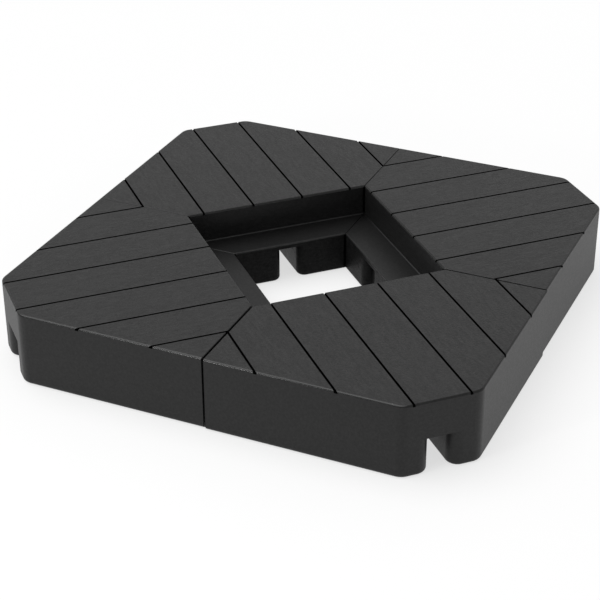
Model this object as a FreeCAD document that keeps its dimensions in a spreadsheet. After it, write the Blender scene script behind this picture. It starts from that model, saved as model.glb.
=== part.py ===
"""A square parasol base of four fillable tanks set round a central opening.

Each tank is a hollow plastic shell that fills one quarter of the square. Its top carries planks that run
along the quarter's diagonal, a channel for one arm of the parasol's cross foot runs beneath it, and a
screw cap with a flat seal closes its filling neck, which stands in a recess of one joint face.

Frame: +Z is up, the origin is the centre of the underside, and the four sides face +-X and +-Y.
Every tank is drawn as the quarter at +X +Y, "along" its diagonal, and then turned into its place.
"""
import FreeCAD, Part
import os
import re
import Sketcher
from FreeCAD import Placement, Rotation, Vector

# Driving dimensions, in millimetres unless the comment says otherwise.
SIZES = {
    "half_side": 500.0,          # half of the square's side
    "height": 154.0,
    "joint_gap": 0.4,            # from a joint face to the plane midway between two tanks
    "corner_cut": 109.0,         # leg of the cut outer corner
    "opening_side": 404.0,       # the opening at the top, a square turned by 45 degrees
    "foot_opening_side": 254.0,  # the same below the ledge
    "ledge_drop": 67.5,          # from the top down to the ledge
    "channel_width": 39.5,
    "channel_height": 76.0,
    "wall": 4.0,
    "trim": 20.0,                # how far a tank is drawn past its joint faces before it is trimmed
    "groove_pitch": 111.5,
    "groove_count": 6.0,
    "groove_width": 4.8,         # at the top
    "groove_floor": 3.6,         # width at the bottom
    "groove_depth": 4.5,
    "corner_radius": 30.0,       # upright edges of the cut corner
    "mouth_radius": 24.0,        # upright edges of the channel's mouth in the cut corner
    "inner_mouth_radius": 18.0,  # the same where the channel meets the opening
    "top_radius": 4.0,
    "foot_radius": 8.0,
    "crease_radius": 3.0,        # where the opening's wall meets the ledge
    "lip_radius": 2.0,           # the ledge's inner edge
    "joint_radius": 1.2,         # all round both joint faces
    "port_distance": 400.0,      # the filling neck's axis, from the centre along the joint face
    "port_height": 96.0,
    "recess_radius": 38.0,
    "recess_depth": 32.0,
    "neck_radius": 21.0,
    "neck_height": 16.0,
    "bore_radius": 17.0,
    "seal_radius": 21.6,
    "seal_inner_radius": 17.6,
    "seal_thickness": 2.0,
    "cap_radius": 26.0,
    "cap_inner_radius": 22.2,
    "cap_top": 3.0,
    "cap_skirt": 17.0,
    "cap_edge": 1.2,
    "rib_radius": 1.6,
    "rib_count": 24.0,
    "slot_length": 30.0,         # coin slot across the cap's top
    "slot_width": 3.2,
    "slot_depth": 1.5,
    "front_stand_off": 4.2,      # the front tank stands this far out along its diagonal
}
QUARTERS = {"front": -90, "right": 0, "back": 90, "left": 180}   # turn about Z, in degrees
ALONG = Rotation(Vector(0, 0, 1), 45)      # turns a flat sketch's first axis to the diagonal
ACROSS = Rotation(Vector(0, 1, 0), 45)     # turns an upright sketch to face along the diagonal
TOUCH = 0.001                              # how near an edge lies to the place it is looked for
INNER, OUTER = "inner", "outer"            # the ends of a channel

doc = FreeCAD.newDocument("parasol_base")
sheet = doc.addObject("Spreadsheet::Sheet", "Sizes")
for row, (alias, value) in enumerate(SIZES.items(), start=1):
    sheet.set(f"A{row}", alias)
    sheet.set(f"B{row}", str(value))
    sheet.setAlias(f"B{row}", alias)
doc.recompute()


def cells(formula):
    """The formula with each of its names read as a cell of the sheet."""
    return re.sub("[a-z_]+", lambda found: "Sizes." + found[0] if found[0] in SIZES else found[0], formula)


def size(formula):
    return float(sheet.evalExpression(cells(formula)))


def bind(obj, path, formula):
    obj.setExpression(path, cells(formula))


# ---------------------------------------------------------------- sketches

def new_sketch(body, name, role="XY_Plane", turn=Rotation(), offset="0"):
    """An empty sketch on one of the body's origin planes, turned in place and moved along its normal."""
    sketch = body.newObject("Sketcher::SketchObject", name)
    plane = next(f for f in body.Origin.OriginFeatures if f.Role == role)
    sketch.AttachmentSupport = (plane, [""])
    sketch.MapMode = "FlatFace"
    sketch.AttachmentOffset = Placement(Vector(0, 0, size(offset)), turn)
    bind(sketch, "AttachmentOffset.Base.z", offset)
    return sketch


def fix_point(sketch, geometry, end, corner):
    """Hold one point of the geometry at its two formulas, measured from the sketch's origin."""
    for kind, formula in zip(("DistanceX", "DistanceY"), corner):
        index = sketch.addConstraint(Sketcher.Constraint(kind, -1, 1, geometry, end, size(formula)))
        bind(sketch, f"Constraints[{index}]", formula)


def draw_polygon(sketch, corners):
    """A closed outline; each corner is a pair of formulas."""
    places = [Vector(size(x), size(y), 0) for x, y in corners]
    count = len(corners)
    for i in range(count):
        sketch.addGeometry(Part.LineSegment(places[i], places[(i + 1) % count]), False)
    for i, corner in enumerate(corners):
        sketch.addConstraint(Sketcher.Constraint("Coincident", i, 2, (i + 1) % count, 1))
        fix_point(sketch, i, 1, corner)


def draw_band(sketch, middle, width):
    """A strip along the sketch's first axis, long enough to cross the whole quarter."""
    low, high = f"{middle} - ({width}) / 2", f"{middle} + ({width}) / 2"
    draw_polygon(sketch, [("0", low), ("2 * half_side", low), ("2 * half_side", high), ("0", high)])


def draw_circle(sketch, middle, radius):
    centre = Vector(size(middle[0]), size(middle[1]), 0)
    index = sketch.addGeometry(Part.Circle(centre, Vector(0, 0, 1), size(radius)), False)
    fix_point(sketch, index, 3, middle)
    held = sketch.addConstraint(Sketcher.Constraint("Radius", index, size(radius)))
    bind(sketch, f"Constraints[{held}]", radius)


# ---------------------------------------------------------------- features

def extrude(body, kind, name, sketch, length, flip=False):
    """A Pad or a Pocket of the sketch; it has to change the body's volume."""
    before = body.Shape.Volume if body.Tip else 0.0
    feature = body.newObject("PartDesign::" + kind, name)
    feature.Profile = sketch
    feature.Reversed = flip
    bind(feature, "Length", length)
    doc.recompute()
    change = feature.Shape.Volume - before
    if (change > 0) != (kind == "Pad") or abs(change) < 1:
        raise RuntimeError(f"{body.Label}.{name} changed the volume by {change:.1f}")
    return feature


def repeat_across(body, name, feature, sketch, axis):
    """One copy of the feature for every groove, a groove's pitch apart."""
    pattern = body.newObject("PartDesign::LinearPattern", name)
    pattern.Originals = [feature]
    pattern.Direction = (sketch, [axis])
    bind(pattern, "Length", "(groove_count - 1) * groove_pitch")
    bind(pattern, "Occurrences", "groove_count")
    body.Tip = pattern
    doc.recompute()


def round_edges(body, name, radius, wanted):
    """A fillet on every edge of the body that the test wants."""
    names = [f"Edge{i}" for i, edge in enumerate(body.Shape.Edges, start=1) if wanted(edge)]
    if not names:
        raise RuntimeError(f"{body.Label}.{name} found no edge")
    base = body.Tip
    fillet = body.newObject("PartDesign::Fillet", name)
    fillet.Base = (base, names)
    bind(fillet, "Radius", radius)
    doc.recompute()


def level(edge, formula):
    """Whether the whole edge lies at this height."""
    box = edge.BoundBox
    return max(abs(box.ZMin - size(formula)), abs(box.ZMax - size(formula))) < TOUCH


def upright(edge):
    box = edge.BoundBox
    return box.XLength < TOUCH and box.YLength < TOUCH


def diagonal(edge):
    """The place of an edge's middle along and across the quarter's diagonal."""
    middle = edge.CenterOfMass
    return (middle.x + middle.y) / 2 ** 0.5, (middle.y - middle.x) / 2 ** 0.5


def beside_channel(edge, width, end):
    """Whether this is an upright edge at one end of a band of this width along the diagonal."""
    along, across = diagonal(edge)
    found = OUTER if along > size("half_side / 2") else INNER
    return upright(edge) and abs(abs(across) - size(f"({width}) / 2")) < TOUCH and found == end


def on_joint_plane(edge, formula):
    """Whether the whole edge lies on one of the two planes at this distance from the X and Y axes."""
    box, place = edge.BoundBox, size(formula)
    lies_on_x = max(abs(box.XMin - place), abs(box.XMax - place)) < TOUCH
    lies_on_y = max(abs(box.YMin - place), abs(box.YMax - place)) < TOUCH
    return lies_on_x or lies_on_y


def outline(joint, inset, opening):
    """A quarter's outline in plan: its joint faces, its two sides, the cut corner and the opening."""
    reach = f"{opening} / sqrt(2) + sqrt(2) * ({inset}) - ({joint})"
    side = f"half_side - ({inset})"
    cut = f"half_side - corner_cut - (sqrt(2) - 1) * ({inset})"
    return [(reach, joint), (side, joint), (side, cut), (cut, side), (joint, side), (joint, reach)]


def turned_corner(edge, inset):
    """Whether this is an upright edge between a side and the cut corner."""
    along, across = diagonal(edge)
    side, cut = size(f"half_side - ({inset})"), size(f"half_side - corner_cut - (sqrt(2) - 1) * ({inset})")
    return upright(edge) and abs(along * 2 ** 0.5 - side - cut) < TOUCH and abs(across) > size("channel_width")


# ---------------------------------------------------------------- a tank

def tank_outside(label):
    """The moulded outer form: block, ledge, channel, rounded edges, filling neck and plank grooves."""
    body = doc.addObject("PartDesign::Body", label + "_outside")

    block = new_sketch(body, "block_outline")
    draw_polygon(block, outline("-trim", "0", "foot_opening_side"))
    extrude(body, "Pad", "block", block, "height")

    ledge = new_sketch(body, "ledge_outline", offset="height")
    reach = "opening_side / sqrt(2) + 2 * trim"
    draw_polygon(ledge, [("-2 * trim", "-2 * trim"), (reach, "-2 * trim"), ("-2 * trim", reach)])
    extrude(body, "Pocket", "ledge", ledge, "ledge_drop")

    channel = new_sketch(body, "channel_outline", turn=ALONG)
    draw_band(channel, "0", "channel_width")
    extrude(body, "Pocket", "channel", channel, "channel_height", flip=True)

    ledge_height = "height - ledge_drop"
    round_edges(body, "corner_round", "corner_radius", lambda e: turned_corner(e, "0"))
    round_edges(body, "mouth_round", "mouth_radius", lambda e: beside_channel(e, "channel_width", OUTER))
    round_edges(body, "inner_mouth_round", "inner_mouth_radius",
                lambda e: beside_channel(e, "channel_width", INNER))
    round_edges(body, "crease_round", "crease_radius",
                lambda e: level(e, ledge_height) and abs(diagonal(e)[0] - size("opening_side / 2")) < TOUCH)
    inner = "foot_opening_side / 2"
    round_edges(body, "lip_round", "lip_radius",
                lambda e: level(e, ledge_height) and abs(diagonal(e)[0] - size(inner)) < TOUCH)
    round_edges(body, "top_round", "top_radius",
                lambda e: level(e, "height") and not on_joint_plane(e, "-trim"))
    round_edges(body, "foot_round", "foot_radius",
                lambda e: level(e, "0") and not on_joint_plane(e, "-trim"))

    past = "half_side + trim"
    joints = new_sketch(body, "joint_trim_outline")
    draw_polygon(joints, [("-2 * trim", "-2 * trim"), (past, "-2 * trim"), (past, "joint_gap"),
                          ("joint_gap", "joint_gap"), ("joint_gap", past), ("-2 * trim", past)])
    extrude(body, "Pocket", "joint_trim", joints, "height", flip=True)

    port = ("port_distance", "port_height")
    recess = new_sketch(body, "recess_outline", "YZ_Plane", offset="joint_gap")
    draw_circle(recess, port, "recess_radius")
    extrude(body, "Pocket", "recess", recess, "recess_depth", flip=True)
    round_edges(body, "joint_round", "joint_radius", lambda e: on_joint_plane(e, "joint_gap"))

    neck = new_sketch(body, "neck_outline", "YZ_Plane", offset="joint_gap + recess_depth")
    draw_circle(neck, port, "neck_radius")
    extrude(body, "Pad", "neck", neck, "neck_height", flip=True)
    bore = new_sketch(body, "bore_outline", "YZ_Plane", offset="joint_gap + recess_depth - neck_height")
    draw_circle(bore, port, "bore_radius")
    extrude(body, "Pocket", "bore", bore, "neck_height + 2 * wall", flip=True)

    first = "-(groove_count - 1) / 2 * groove_pitch"
    groove = new_sketch(body, "groove_profile", "YZ_Plane", turn=ACROSS)
    draw_polygon(groove, [
        (f"{first} - groove_floor / 2", "height - groove_depth"),
        (f"{first} + groove_floor / 2", "height - groove_depth"),
        (f"{first} + groove_width / 2", "height"),
        (f"{first} + groove_width / 2", "height + trim"),
        (f"{first} - groove_width / 2", "height + trim"),
        (f"{first} - groove_width / 2", "height"),
    ])
    cut = extrude(body, "Pocket", "groove", groove, "2 * half_side", flip=True)
    repeat_across(body, "grooves", cut, groove, "H_Axis")
    return body


def tank_hollow(label):
    """The space for the filling: two chambers beside the channel, joined above it, and under each groove
    a rib's worth less, so that every wall keeps the same thickness."""
    body = doc.addObject("PartDesign::Body", label + "_hollow")

    chambers = new_sketch(body, "chamber_outline", offset="wall")
    draw_polygon(chambers, outline("joint_gap + wall", "wall", "foot_opening_side"))
    extrude(body, "Pad", "chambers", chambers, "height - ledge_drop - 2 * wall")

    divider = new_sketch(body, "divider_outline", turn=ALONG)
    draw_band(divider, "0", "channel_width + 2 * wall")
    extrude(body, "Pocket", "divider", divider, "height", flip=True)
    round_edges(body, "inner_mouth_round", "inner_mouth_radius - wall",
                lambda e: beside_channel(e, "channel_width + 2 * wall", INNER))

    deck = new_sketch(body, "deck_outline", offset="channel_height + wall")
    draw_polygon(deck, outline("joint_gap + wall", "wall", "opening_side"))
    extrude(body, "Pad", "deck", deck, "height - channel_height - 2 * wall")
    round_edges(body, "corner_round", "corner_radius - wall", lambda e: turned_corner(e, "wall"))
    round_edges(body, "mouth_round", "mouth_radius - wall",
                lambda e: beside_channel(e, "channel_width + 2 * wall", OUTER))

    housing = new_sketch(body, "housing_outline", "YZ_Plane", offset="joint_gap")
    draw_circle(housing, ("port_distance", "port_height"), "recess_radius + wall")
    extrude(body, "Pocket", "housing", housing, "recess_depth + wall", flip=True)

    rib = new_sketch(body, "rib_outline", turn=ALONG, offset="height - wall")
    draw_band(rib, "-(groove_count - 1) / 2 * groove_pitch", "groove_width + 2 * wall")
    cut = extrude(body, "Pocket", "rib", rib, "groove_depth")
    repeat_across(body, "ribs", cut, rib, "V_Axis")
    return body


def make_tank(label, place):
    tank = doc.addObject("Part::Cut", label)
    tank.Base = tank_outside(label)
    tank.Tool = tank_hollow(label)
    tank.Placement = place
    return tank


# ---------------------------------------------------------------- a filling port
# A cap and its seal are drawn with +Z out of the neck and z = 0 at the recess's floor.

def make_cap(label, place):
    body = doc.addObject("PartDesign::Body", label)
    under = "neck_height + seal_thickness"
    top = f"{under} + cap_top"

    half = new_sketch(body, "half_section", "XZ_Plane")
    draw_polygon(half, [("0", under), ("0", top), ("cap_radius", top), ("cap_radius", f"{under} - cap_skirt"),
                        ("cap_inner_radius", f"{under} - cap_skirt"), ("cap_inner_radius", under)])
    turned = body.newObject("PartDesign::Revolution", "cup")
    turned.Profile = half
    turned.ReferenceAxis = (half, ["V_Axis"])
    turned.Angle = 360
    doc.recompute()
    round_edges(body, "edge_round", "cap_edge",
                lambda e: level(e, top) and e.BoundBox.XLength > size("cap_radius"))

    rib = new_sketch(body, "rib_outline", offset=f"{under} - cap_skirt")
    draw_circle(rib, ("cap_radius", "0"), "rib_radius")
    pad = extrude(body, "Pad", "rib", rib, "cap_skirt")
    ribs = body.newObject("PartDesign::PolarPattern", "ribs")
    ribs.Originals = [pad]
    ribs.Axis = (rib, ["N_Axis"])
    ribs.Angle = 360
    bind(ribs, "Occurrences", "rib_count")
    body.Tip = ribs
    doc.recompute()

    slot = new_sketch(body, "slot_outline", offset=top)
    x, y = "slot_length / 2", "slot_width / 2"
    draw_polygon(slot, [(f"-{x}", f"-{y}"), (x, f"-{y}"), (x, y), (f"-{x}", y)])
    extrude(body, "Pocket", "slot", slot, "slot_depth")
    body.Placement = place
    return body


def make_seal(label, place):
    body = doc.addObject("PartDesign::Body", label)
    ring = new_sketch(body, "ring_outline", offset="neck_height")
    draw_circle(ring, ("0", "0"), "seal_radius")
    draw_circle(ring, ("0", "0"), "seal_inner_radius")
    extrude(body, "Pad", "ring", ring, "seal_thickness")
    body.Placement = place
    return body


# ---------------------------------------------------------------- the base

subparts = []
port_place = Placement(Vector(size("joint_gap + recess_depth"), size("port_distance"), size("port_height")),
                       Rotation(Vector(0, 0, 1), Vector(-1, 0, 0)))
for side, degrees in QUARTERS.items():
    turn = Rotation(Vector(0, 0, 1), degrees)
    stand_off = size("front_stand_off") / 2 ** 0.5 if side == "front" else 0.0
    quarter = Placement(turn.multVec(Vector(stand_off, stand_off, 0)), turn)
    subparts.append(make_tank("tank_" + side, quarter))
    subparts.append(make_cap("cap_" + side, quarter * port_place))
    subparts.append(make_seal("seal_" + side, quarter * port_place))

doc.recompute()
for obj in doc.Objects:
    if "Invalid" in obj.State or "Error" in obj.State:
        raise RuntimeError(f"{obj.Label} failed: {obj.State}")
for obj in subparts:
    if obj.Shape.isNull() or not obj.Shape.isValid() or len(obj.Shape.Solids) != 1:
        raise RuntimeError(f"{obj.Label} is not one valid solid")

os.makedirs("parts", exist_ok=True)
for obj in subparts:
    obj.Shape.exportStep(os.path.join("parts", obj.Label + ".step"))
    box = obj.Shape.optimalBoundingBox(False, False)
    print(f"{obj.Label:12} {obj.Shape.Volume / 1000:9.1f} cm3  "
          f"x {box.XMin:7.1f} {box.XMax:7.1f}  y {box.YMin:7.1f} {box.YMax:7.1f}  z {box.ZMin:6.1f} {box.ZMax:6.1f}")
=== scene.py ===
"""The looks of the parasol base: its plastics, a white studio and the camera."""
import math

import bpy
from mathutils import Matrix, Vector


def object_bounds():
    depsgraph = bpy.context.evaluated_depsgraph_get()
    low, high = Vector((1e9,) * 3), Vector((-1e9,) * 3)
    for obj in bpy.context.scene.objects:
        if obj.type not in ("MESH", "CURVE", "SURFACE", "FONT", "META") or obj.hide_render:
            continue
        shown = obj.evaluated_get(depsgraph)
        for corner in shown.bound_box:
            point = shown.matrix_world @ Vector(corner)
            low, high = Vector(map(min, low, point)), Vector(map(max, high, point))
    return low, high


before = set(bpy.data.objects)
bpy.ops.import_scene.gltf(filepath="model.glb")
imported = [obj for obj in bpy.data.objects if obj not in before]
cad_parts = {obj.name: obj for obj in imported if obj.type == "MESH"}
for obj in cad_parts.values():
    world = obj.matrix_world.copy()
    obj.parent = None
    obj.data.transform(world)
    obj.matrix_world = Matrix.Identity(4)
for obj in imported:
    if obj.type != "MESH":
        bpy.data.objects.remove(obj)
cad_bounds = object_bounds()

MM = 0.001

# Each tank's diagonal points out of the opening at this angle about Z, and its planks run along it.
DIAGONALS = {"front": math.radians(-45), "right": math.radians(45), "back": math.radians(135),
             "left": math.radians(-135)}
LOOSE_JOINT = ("front", "left")   # the joint between these two gets a wider painted shadow line
STAND_OFF = {"front": (3 * MM, -3 * MM, 0), "right": (0, 0, 0), "back": (0, 0, 0), "left": (0, 0, 0)}

# Sizes of the CAD model that the materials follow.
HEIGHT = cad_bounds[1][2] - cad_bounds[0][2]
PLANK_PITCH = 111.5 * MM
GROOVE_WIDTH = 4.8 * MM
GROOVE_DEPTH = 4.5 * MM
EDGE_RADIUS = 4 * MM
LEDGE_HEIGHT = 86.5 * MM
OPENING_HALF = 202 * MM
FOOT_OPENING_HALF = 127 * MM

# Half the width of the painted shadow lines at the joints, in the opening's corners and on the outer face.
INNER_SEAM_SHADOW = 2.4 * MM
OUTER_SEAM_SHADOW = 1.2 * MM
SEAM_SHADOW_BLUR = 0.4 * MM

# The tank's plastic: grey levels of its base colour, roughness and gloss.
SHADE_LOW, SHADE_HIGH = 0.0001, 0.0120
ROUGHNESS, ROUGHNESS_SPREAD = 0.38, 0.05
UPRIGHT_ROUGHER = 0.06            # added on the upright walls
EDGE_ROUGHNESS = 0.24             # of the rounded top edges
IOR = 1.40
GLOSS = 0.5
UNDER_LEDGE_SHADE_GLOSS = 0.09                # painted shade: low gloss darkens the walls under the ledge
PATTERN_LOW, PATTERN_HIGH = 0.45, 0.85

# Painted shade: near-black, rough, dull plastic on the grooves' walls and on the painted shadow lines at the
# joints.
PAINTED_SHADE_GREY, PAINTED_SHADE_ROUGHNESS, PAINTED_SHADE_GLOSS = 0.0004, 0.9, 0.02

CAP_SHADE, CAP_ROUGHNESS = 0.006, 0.38
SEAL_SHADE, SEAL_ROUGHNESS = 0.012, 0.75

# The studio: a uniform sky, a glowing white table, a wide soft light overhead and three softboxes.
SKY = 0.61
TABLE_REACH = 30.0
TABLE_ALBEDO = 0.25
TABLE_GLOW = 0.66
OVERHEAD = 2.3
OVERHEAD_DIRECTION = (-0.35, -0.08, 1)
OVERHEAD_SPREAD = math.radians(60)
SOFTBOXES = {                     # place, diameter and radiance
    "left": ((-3.2, 0.3, 1.7), 2.6, 0.2),
    "back": ((0.5, 3.3, 2.2), 2.4, 0.18),
    "glint": ((-1.07, -2.70, 1.05), 0.35, 48.0),
}

CAMERA_AZIMUTH = math.radians(24.2)
CAMERA_ELEVATION = math.radians(29.75)
CAMERA_ROLL = math.radians(-0.23)
CAMERA_DISTANCE = 3.394
CAMERA_LENS = 102.1               # millimetres, on a sensor 36 mm wide
CAMERA_AIM = Vector((0.037, -0.144, 0.099))


# ---------------------------------------------------------------- camera

def make_camera():
    """A long lens that looks down on the base from its front right."""
    level = math.cos(CAMERA_ELEVATION)
    back = Vector((math.sin(CAMERA_AZIMUTH) * level, -math.cos(CAMERA_AZIMUTH) * level,
                   math.sin(CAMERA_ELEVATION)))
    right = Vector((math.cos(CAMERA_AZIMUTH), math.sin(CAMERA_AZIMUTH), 0))
    right = Matrix.Rotation(CAMERA_ROLL, 3, back) @ right
    turn = Matrix((right, back.cross(right), back)).transposed().to_4x4()
    camera = bpy.data.objects.new("camera", bpy.data.cameras.new("camera"))
    bpy.context.scene.collection.objects.link(camera)
    camera.data.lens = CAMERA_LENS
    camera.matrix_world = Matrix.Translation(CAMERA_AIM + CAMERA_DISTANCE * back) @ turn
    bpy.context.scene.camera = camera


# ---------------------------------------------------------------- shader helpers

class Shader:
    """A material with a Principled surface, and short ways to add and join its nodes."""

    def __init__(self, name):
        self.material = bpy.data.materials.new(name)
        self.material.use_nodes = True
        self.nodes = self.material.node_tree.nodes
        self.links = self.material.node_tree.links
        self.surface = self.nodes["Principled BSDF"]

    def put(self, node, key, value):
        """Set an input, found by its name or its number, to a value or join it to a socket."""
        socket = node.inputs[key]
        if isinstance(value, bpy.types.NodeSocket):
            self.links.new(value, socket)
        else:
            socket.default_value = value

    def node(self, kind, inputs, **settings):
        made = self.nodes.new("ShaderNode" + kind)
        for key, value in settings.items():
            setattr(made, key, value)
        for key, value in inputs.items():
            self.put(made, key, value)
        return made

    def maths(self, operation, *values):
        return self.node("Math", dict(enumerate(values)), operation=operation).outputs[0]

    def ramp(self, value, low, high, new_low=0.0, new_high=1.0):
        """The value's place between low and high, clamped, then between the new ends."""
        ends = {"Value": value, "From Min": low, "From Max": high, "To Min": new_low, "To Max": new_high}
        return self.node("MapRange", ends).outputs[0]

    def product(self, *factors):
        """Of masks, it is 1 where they all are."""
        result = factors[0]
        for factor in factors[1:]:
            result = self.maths("MULTIPLY", result, factor)
        return result

    def vector(self, operation, first, second=(0, 0, 0)):
        return self.node("VectorMath", {0: first, 1: second}, operation=operation).outputs

    def mix(self, mask, unmasked, masked):
        """unmasked where the mask is 0, masked where it is 1."""
        return self.node("Mix", {"Factor": mask, "A": unmasked, "B": masked}).outputs["Result"]

    def noise(self, place, scale, detail, roughness, seed=0.0):
        inputs = {"Vector": place, "W": seed, "Scale": scale, "Detail": detail, "Roughness": roughness}
        return self.node("TexNoise", inputs, noise_dimensions="4D").outputs["Fac"]

    def scaled(self, place, along, across, up):
        return self.node("Mapping", {"Vector": place, "Scale": (along, across, up)}).outputs[0]

    def xyz(self, vector):
        return self.node("SeparateXYZ", {"Vector": vector}).outputs

    def bump(self, height, distance, strength, under=None):
        inputs = {"Height": height, "Distance": distance, "Strength": strength}
        if under is not None:
            inputs["Normal"] = under
        return self.node("Bump", inputs).outputs[0]

    def paint_grey(self, level):
        colour = self.node("CombineColor", {"Red": level, "Green": level, "Blue": level})
        self.put(self.surface, "Base Color", colour.outputs[0])


# ---------------------------------------------------------------- plastics

def tank_masks(shader, side, place, normal, turned):
    """Where things are on a tank: each mask is 1 there and 0 elsewhere."""
    along, across, up = shader.xyz(turned)
    facing_up = shader.xyz(normal)[2]
    upright = shader.ramp(facing_up, 0.3, 0.1)

    # On top: the planks, the walls of the grooves between them and the rounded edges. The grooves lie
    # half a pitch from the middle plank, and ten more pitches keep their ruler above zero.
    deck = shader.product(shader.ramp(facing_up, 0.9, 0.99), shader.ramp(up, HEIGHT - 2 * MM, HEIGHT - MM))
    ruler = shader.maths("ADD", across, 10.5 * PLANK_PITCH)
    from_groove = shader.maths("PINGPONG", ruler, 0.5 * PLANK_PITCH)
    half_groove, groove_floor = GROOVE_WIDTH / 2, HEIGHT - GROOVE_DEPTH
    groove = shader.product(shader.ramp(from_groove, half_groove + 0.3 * MM, half_groove + 0.1 * MM),
                            shader.ramp(up, HEIGHT - 0.2 * MM, HEIGHT - MM),
                            shader.ramp(up, groove_floor - 0.4 * MM, groove_floor - 0.1 * MM))
    top_edge = shader.product(shader.ramp(up, HEIGHT - EDGE_RADIUS - MM, HEIGHT - EDGE_RADIUS),
                              shader.ramp(facing_up, 0.999, 0.98), shader.ramp(facing_up, 0.05, 0.2))

    # The joint planes are X = 0 and Y = 0 of the tank before it stood off. A face that lies in one
    # belongs to no wall of the opening.
    own = shader.vector("SUBTRACT", place, STAND_OFF[side])[0]
    reach = shader.xyz(shader.vector("ABSOLUTE", own)[0])
    from_joint = shader.maths("MINIMUM", reach[0], reach[1])
    outwards = shader.vector("DOT_PRODUCT", own, normal)["Value"]
    joint_face = shader.product(shader.ramp(from_joint, 0.8 * MM, 0.4 * MM),
                                shader.ramp(shader.maths("ABSOLUTE", outwards), 50 * MM, 30 * MM))
    exposed = shader.maths("SUBTRACT", 1.0, joint_face)
    wall = shader.product(shader.ramp(along, OPENING_HALF + 3 * MM, OPENING_HALF + 2 * MM),
                          shader.ramp(facing_up, 0.3, 0.2), exposed)
    inner_end = FOOT_OPENING_HALF + 18 * MM
    # Under the ledge, where the gloss is lowered as painted shade.
    under_ledge = shader.product(shader.ramp(along, inner_end + 6 * MM, inner_end),
                                 shader.ramp(up, LEDGE_HEIGHT - 2 * MM, LEDGE_HEIGHT - 4 * MM), exposed)

    # Painted shadow: near the joints, the opening's corners and the loose joint's outer faces get dark lines
    # that stand in for the gap's shade.
    painted_seam_shadow = shader.product(wall, shader.ramp(from_joint, INNER_SEAM_SHADOW + SEAM_SHADOW_BLUR, INNER_SEAM_SHADOW))
    if side in LOOSE_JOINT:
        outer_face = shader.ramp(outwards, 300 * MM, 400 * MM)
        near_joint = shader.ramp(reach[0], OUTER_SEAM_SHADOW + SEAM_SHADOW_BLUR, OUTER_SEAM_SHADOW)
        painted_seam_shadow = shader.maths("MAXIMUM", painted_seam_shadow, shader.product(outer_face, near_joint))
    # Painted shade: the grooves' walls and the joint lines are made near-black.
    painted_shade = shader.maths("MAXIMUM", groove, painted_seam_shadow)
    return {"deck": deck, "top_edge": top_edge, "wall": wall, "under_ledge": under_ledge,
            "upright": upright, "painted_shade": painted_shade}


def plank_grain(shader, turned):
    """Wood grain drawn out along the planks, each plank with its own run of it."""
    across = shader.xyz(turned)[1]
    plank = shader.maths("FLOOR", shader.maths("MULTIPLY_ADD", across, 1 / PLANK_PITCH, 0.5))
    seed = shader.maths("MULTIPLY", plank, 3.7)
    broad = shader.scaled(turned, along=2.2, across=16.0, up=1.0)
    figure = shader.noise(broad, scale=1.0, detail=3.0, roughness=0.5, seed=seed)
    rings = shader.maths("PINGPONG", shader.maths("MULTIPLY", figure, 26.0), 1.0)
    fine = shader.scaled(turned, along=55.0, across=210.0, up=1.0)
    fibres = shader.noise(fine, scale=1.0, detail=4.0, roughness=0.65, seed=seed)
    finest = shader.scaled(turned, along=110.0, across=620.0, up=1.0)
    pores = shader.noise(finest, scale=1.0, detail=2.0, roughness=0.5, seed=seed)
    grain = shader.maths("MULTIPLY_ADD", rings, 0.12, fibres)
    return shader.maths("MULTIPLY_ADD", shader.ramp(pores, 0.56, 0.66), -0.25, grain)


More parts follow.
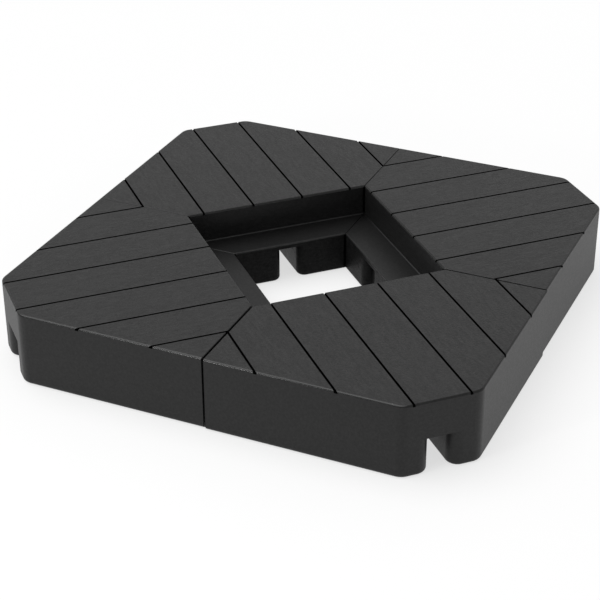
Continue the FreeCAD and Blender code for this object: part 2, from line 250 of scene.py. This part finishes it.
def tank_plastic(side):
    """Black moulded plastic: grain on the planks, streaks on the opening's wall, satin elsewhere; painted
    shade in the grooves, along the joints and, by lower gloss, under the ledge.
    """
    shader = Shader("tank_plastic_" + side)
    coordinates = shader.node("TexCoord", {}).outputs
    place, normal = coordinates["Object"], coordinates["Normal"]
    turned = shader.node("Mapping", {"Vector": place, "Rotation": (0, 0, -DIAGONALS[side])}).outputs[0]
    masks = tank_masks(shader, side, place, normal, turned)
    deck, wall, top_edge, painted_shade = masks["deck"], masks["wall"], masks["top_edge"], masks["painted_shade"]

    # The grain, the streaks drawn along the opening's wall, and everywhere the mould's fine texture,
    # its mottling and its slow waviness.
    grain = plank_grain(shader, turned)
    drawn = shader.scaled(turned, along=1.0, across=60.0, up=260.0)
    streaks = shader.noise(drawn, scale=1.0, detail=4.0, roughness=0.65)
    sand = shader.noise(turned, scale=1500.0, detail=2.0, roughness=0.6)
    mottle = shader.noise(turned, scale=200.0, detail=4.0, roughness=0.75)
    waves = shader.noise(turned, scale=9.0, detail=1.0, roughness=0.4)

    relief = shader.mix(shader.maths("MAXIMUM", deck, wall), 0.25, 1.0)
    mottling = shader.product(mottle, shader.mix(top_edge, relief, 0.0))
    bumps = shader.bump(waves, distance=1.2 * MM, strength=0.15)
    bumps = shader.bump(shader.product(grain, deck), distance=0.5 * MM, strength=0.35, under=bumps)
    bumps = shader.bump(mottling, distance=1.0 * MM, strength=1.0, under=bumps)
    bumps = shader.bump(shader.product(streaks, wall), distance=0.5 * MM, strength=0.45, under=bumps)
    bumps = shader.bump(shader.mix(top_edge, sand, 0.5), distance=0.12 * MM, strength=0.35, under=bumps)
    shader.put(shader.surface, "Normal", bumps)

    pattern = shader.mix(deck, shader.mix(wall, 0.25, streaks), shader.ramp(grain, 0.25, 0.85))
    pattern = shader.maths("MULTIPLY_ADD", pattern, 0.5, shader.maths("MULTIPLY", mottle, 0.8))
    shade = shader.ramp(pattern, PATTERN_LOW, PATTERN_HIGH, SHADE_LOW, SHADE_HIGH)
    # Painted shade: the base colour goes near-black in the grooves and along the joints.
    shader.paint_grey(shader.mix(painted_shade, shade, PAINTED_SHADE_GREY))
    roughness = shader.ramp(pattern, PATTERN_LOW, PATTERN_HIGH,
                            ROUGHNESS + ROUGHNESS_SPREAD, ROUGHNESS - ROUGHNESS_SPREAD)
    roughness = shader.maths("MULTIPLY_ADD", masks["upright"], UPRIGHT_ROUGHER, roughness)
    roughness = shader.mix(top_edge, roughness, EDGE_ROUGHNESS)
    shader.put(shader.surface, "Roughness", shader.mix(painted_shade, roughness, PAINTED_SHADE_ROUGHNESS))
    shader.put(shader.surface, "IOR", IOR)
    # Painted shade: lower gloss under the ledge, and in the grooves and joint lines.
    gloss = shader.mix(masks["under_ledge"], GLOSS, UNDER_LEDGE_SHADE_GLOSS)
    shader.put(shader.surface, "Specular IOR Level", shader.mix(painted_shade, gloss, PAINTED_SHADE_GLOSS))
    return shader.material


def small_plastic(name, shade, roughness):
    """The caps' plastic or the seals' rubber: finely textured, lightly scuffed, a little uneven in sheen."""
    shader = Shader(name)
    place = shader.node("TexCoord", {}).outputs["Object"]
    mottle = shader.noise(place, scale=220.0, detail=3.0, roughness=0.6)
    sand = shader.noise(place, scale=1800.0, detail=2.0, roughness=0.6)
    scratched = shader.scaled(place, along=90.0, across=900.0, up=90.0)
    scuffs = shader.ramp(shader.noise(scratched, scale=1.0, detail=3.0, roughness=0.6), 0.58, 0.72)
    shader.paint_grey(shader.ramp(mottle, 0.3, 0.7, 0.8 * shade, 1.2 * shade))
    sheen = shader.ramp(mottle, 0.3, 0.7, roughness - ROUGHNESS_SPREAD, roughness + ROUGHNESS_SPREAD)
    shader.put(shader.surface, "Roughness", shader.maths("MULTIPLY_ADD", scuffs, 0.12, sheen))
    bumps = shader.bump(sand, distance=0.1 * MM, strength=0.4)
    bumps = shader.bump(scuffs, distance=0.05 * MM, strength=0.3, under=bumps)
    shader.put(shader.surface, "Normal", bumps)
    return shader.material


def paint(node, material):
    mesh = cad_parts[node].data
    mesh.materials.clear()
    mesh.materials.append(material)


# ---------------------------------------------------------------- studio

def make_table():
    """A wide white table that glows softly, so that shadows on it stay faint."""
    mesh = bpy.data.meshes.new("table")
    signs = [(-1, -1), (1, -1), (1, 1), (-1, 1)]
    mesh.from_pydata([(x * TABLE_REACH, y * TABLE_REACH, 0) for x, y in signs], [], [(0, 1, 2, 3)])
    table = bpy.data.objects.new("table", mesh)
    bpy.context.scene.collection.objects.link(table)
    shader = Shader("table")
    shader.put(shader.surface, "Base Color", (TABLE_ALBEDO, TABLE_ALBEDO, TABLE_ALBEDO, 1))
    shader.put(shader.surface, "Roughness", 0.9)
    shader.put(shader.surface, "Specular IOR Level", 0.0)
    shader.put(shader.surface, "Emission Color", (1, 1, 1, 1))
    shader.put(shader.surface, "Emission Strength", TABLE_GLOW)
    mesh.materials.append(shader.material)


def make_lamp(name, kind, towards):
    """A lamp whose light comes from the direction of this vector."""
    lamp = bpy.data.lights.new(name, kind)
    light = bpy.data.objects.new(name, lamp)
    bpy.context.scene.collection.objects.link(light)
    light.rotation_euler = Vector(towards).to_track_quat("Z", "Y").to_euler()
    return light


def make_studio():
    scene = bpy.context.scene
    scene.view_settings.view_transform = "Standard"
    scene.world = bpy.data.worlds.new("studio")
    scene.world.use_nodes = True
    sky = scene.world.node_tree.nodes["Background"]
    sky.inputs["Color"].default_value = (1, 1, 1, 1)
    sky.inputs["Strength"].default_value = SKY
    make_table()
    overhead = make_lamp("overhead", "SUN", OVERHEAD_DIRECTION)
    overhead.data.energy = OVERHEAD
    overhead.data.angle = OVERHEAD_SPREAD
    for name, (place, diameter, radiance) in SOFTBOXES.items():
        box = make_lamp(name, "AREA", place)
        box.location = place
        box.data.shape = "DISK"
        box.data.size = diameter
        box.data.energy = radiance * math.pi ** 2 * (diameter / 2) ** 2


make_camera()
make_studio()
cap_plastic = small_plastic("cap_plastic", CAP_SHADE, CAP_ROUGHNESS)
seal_rubber = small_plastic("seal_rubber", SEAL_SHADE, SEAL_ROUGHNESS)
for side in DIAGONALS:
    paint("tank_" + side, tank_plastic(side))
    paint("cap_" + side, cap_plastic)
    paint("seal_" + side, seal_rubber)
